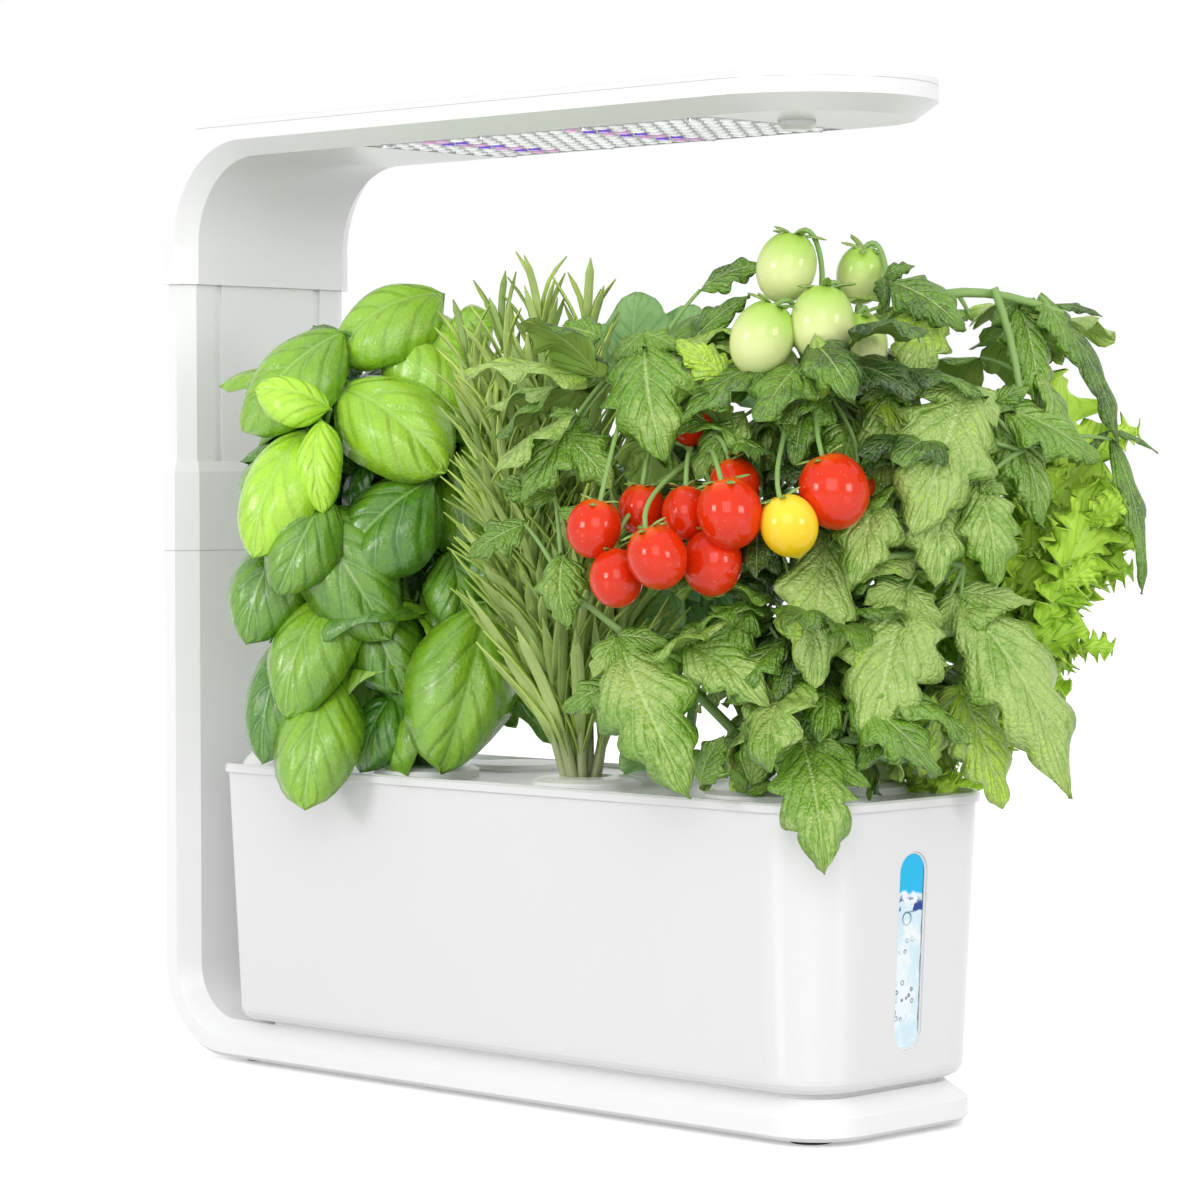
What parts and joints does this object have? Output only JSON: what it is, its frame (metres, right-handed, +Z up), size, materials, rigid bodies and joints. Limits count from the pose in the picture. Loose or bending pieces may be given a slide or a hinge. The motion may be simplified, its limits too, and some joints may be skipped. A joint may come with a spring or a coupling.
{
  "type": "countertop hydroponic garden",
  "caption": "White C-shaped countertop hydroponic garden: telescoping LED lamp arm over a water tank with a planting deck, grown herbs, lettuce and tomatoes.",
  "frame": {"origin": "middle of the base's length and width, on the table under the feet", "axes": "+Z up; +X along the base to its free end, away from the post; -Y is the front"},
  "size_m": [0.365, 0.1769, 0.3545],
  "materials": {
    "white_plastic": "satin white",
    "grey_plastic": "matt pale grey",
    "black_plastic": "matt black",
    "rubber": "matt",
    "steel": "satin",
    "aluminium": "satin",
    "board": "solder-masked board",
    "led_board": "white solder-masked board",
    "led_white": "white LED",
    "led_red": "pink-red LED",
    "led_blue": "violet-blue LED",
    "clear": "clear window",
    "sponge": "damp brown sponge",
    "filter": "black open sponge",
    "basil": "glossy leaves",
    "rosemary": "needle leaves",
    "tomato": "toothed leaves",
    "fruit": "glossy ripe fruit",
    "lettuce": "frilled leaves",
    "herb": "broad leaves"
  },
  "bodies": {
    "stand": {"stand_shell": "white_plastic", "base_bottom_plate": "grey_plastic", "rubber_feet": "rubber", "bottom_screws": "steel", "column_collar": "white_plastic", "brake_pads": "rubber", "mast_stop_screw": "steel", "dc_inlet": "black_plastic", "control_board": "board", "control_board_screws": "steel"},
    "lamp": {"mast_tube": "white_plastic", "mast_screws": "steel", "lamp_housing": "white_plastic", "lamp_top_cover": "white_plastic", "heat_spreader": "aluminium", "led_board": "led_board", "white_leds": "led_white", "red_leds": "led_red", "blue_leds": "led_blue", "led_board_screws": "black_plastic", "lamp_driver_board": "board", "button_switch": "black_plastic"},
    "light_button": {"light_button": "grey_plastic"},
    "tank": {"water_tank": "white_plastic", "window_lens": "clear", "window_seal": "grey_plastic", "planting_deck": "white_plastic", "fill_cap_hinge_pin": "steel", "pod_baskets": "black_plastic", "grow_sponges": "sponge", "pod_covers": "white_plastic", "pod_plug": "white_plastic", "water_pump": "black_plastic", "pump_cover": "black_plastic", "pump_intake_sponge": "filter", "pump_shaft": "steel", "pump_outlet_tube": "grey_plastic", "basil_plant": "basil", "basil_crown": "basil", "rosemary_plant": "rosemary", "rosemary_crown": "rosemary", "tomato_plant": "tomato", "tomato_crown": "tomato", "ripe_tomatoes": "fruit", "lettuce_plant": "lettuce", "leafy_herb": "herb", "leafy_herb_crown": "herb"},
    "fill_cap": {"fill_cap": "white_plastic"},
    "pump_rotor": {"pump_impeller": "grey_plastic"}
  },
  "joints": [
    {"name": "lamp_height", "type": "slide", "parent": "stand", "child": "lamp", "axis": [0, 0, 1], "range_m": [-0.066, 0], "deforming": ["basil_crown", "rosemary_crown", "tomato_crown", "leafy_herb_crown"]},
    {"name": "light_button_press", "type": "slide", "parent": "lamp", "child": "light_button", "axis": [0, 0, 1], "range_m": [0, 0.0012], "stiffness_N_per_m": 900},
    {"name": "tank_slide", "type": "slide", "parent": "stand", "child": "tank", "axis": [1, 0, 0], "range_m": [0, 0.14]},
    {"name": "fill_cap_hinge", "type": "hinge", "parent": "tank", "child": "fill_cap", "pos_m": [-0.112, -0.0176, 0.1132], "axis": [-1, 0, 0], "range_deg": [0, 105]},
    {"name": "pump_rotor_spin", "type": "hinge", "parent": "tank", "child": "pump_rotor", "pos_m": [-0.0875, 0.008, 0.03], "axis": [0, 0, 1], "continuous": true}
  ]
}
